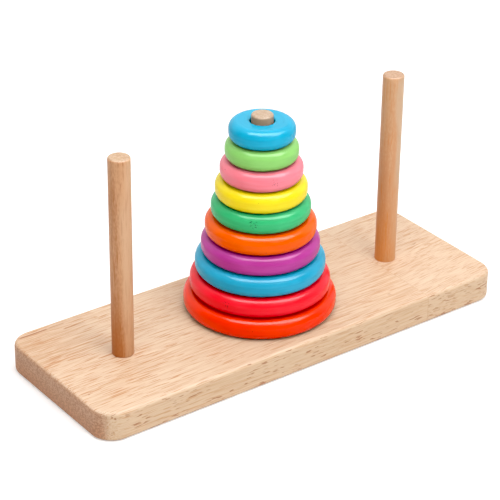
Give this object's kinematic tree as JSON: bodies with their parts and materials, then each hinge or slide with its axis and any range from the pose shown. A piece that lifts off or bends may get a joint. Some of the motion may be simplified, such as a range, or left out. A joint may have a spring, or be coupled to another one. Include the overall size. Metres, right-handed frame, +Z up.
{
  "type": "tower of hanoi puzzle",
  "caption": "Wooden tower of hanoi puzzle: a rounded board with upright pegs and a stack of painted ring discs that shrink from bottom to top.",
  "frame": {"origin": "centre of the board's underside, on the surface that it stands on", "axes": "+X along the board's length from the left peg to the right peg, +Y across the board to its back edge, +Z up along the pegs"},
  "size_m": [0.285, 0.104, 0.141],
  "materials": {
    "board_wood": "sanded, clear satin lacquer",
    "peg_wood": "sanded, clear satin lacquer",
    "paint_sky_blue": "wood under satin gloss sky blue paint",
    "paint_light_green": "wood under satin gloss light green paint",
    "paint_pink": "wood under satin gloss pink paint",
    "paint_yellow": "wood under satin gloss yellow paint",
    "paint_green": "wood under satin gloss green paint",
    "paint_orange": "wood under satin gloss orange paint",
    "paint_purple": "wood under satin gloss purple paint",
    "paint_blue": "wood under satin gloss blue paint",
    "paint_crimson": "wood under satin gloss crimson paint",
    "paint_orange_red": "wood under satin gloss orange red paint"
  },
  "bodies": {
    "base": {"base_board": "board_wood", "peg_left": "peg_wood", "peg_centre": "peg_wood", "peg_right": "peg_wood"},
    "disc_01": {"disc_01": "paint_sky_blue"},
    "disc_02": {"disc_02": "paint_light_green"},
    "disc_03": {"disc_03": "paint_pink"},
    "disc_04": {"disc_04": "paint_yellow"},
    "disc_05": {"disc_05": "paint_green"},
    "disc_06": {"disc_06": "paint_orange"},
    "disc_07": {"disc_07": "paint_purple"},
    "disc_08": {"disc_08": "paint_blue"},
    "disc_09": {"disc_09": "paint_crimson"},
    "disc_10": {"disc_10": "paint_orange_red"}
  },
  "joints": [
    {"name": "disc_10_lift", "type": "slide", "parent": "base", "child": "disc_10", "axis": [0, 0, 1], "range_m": [0, 0.124]},
    {"name": "disc_09_lift", "type": "slide", "parent": "disc_10", "child": "disc_09", "axis": [0, 0, 1], "range_m": [0, 0.1121]},
    {"name": "disc_08_lift", "type": "slide", "parent": "disc_09", "child": "disc_08", "axis": [0, 0, 1], "range_m": [0, 0.1002]},
    {"name": "disc_07_lift", "type": "slide", "parent": "disc_08", "child": "disc_07", "axis": [0, 0, 1], "range_m": [0, 0.0883]},
    {"name": "disc_06_lift", "type": "slide", "parent": "disc_07", "child": "disc_06", "axis": [0, 0, 1], "range_m": [0, 0.0764]},
    {"name": "disc_05_lift", "type": "slide", "parent": "disc_06", "child": "disc_05", "axis": [0, 0, 1], "range_m": [0, 0.0645]},
    {"name": "disc_04_lift", "type": "slide", "parent": "disc_05", "child": "disc_04", "axis": [0, 0, 1], "range_m": [0, 0.0526]},
    {"name": "disc_03_lift", "type": "slide", "parent": "disc_04", "child": "disc_03", "axis": [0, 0, 1], "range_m": [0, 0.0407]},
    {"name": "disc_02_lift", "type": "slide", "parent": "disc_03", "child": "disc_02", "axis": [0, 0, 1], "range_m": [0, 0.0288]},
    {"name": "disc_01_lift", "type": "slide", "parent": "disc_02", "child": "disc_01", "axis": [0, 0, 1], "range_m": [0, 0.0169]}
  ]
}
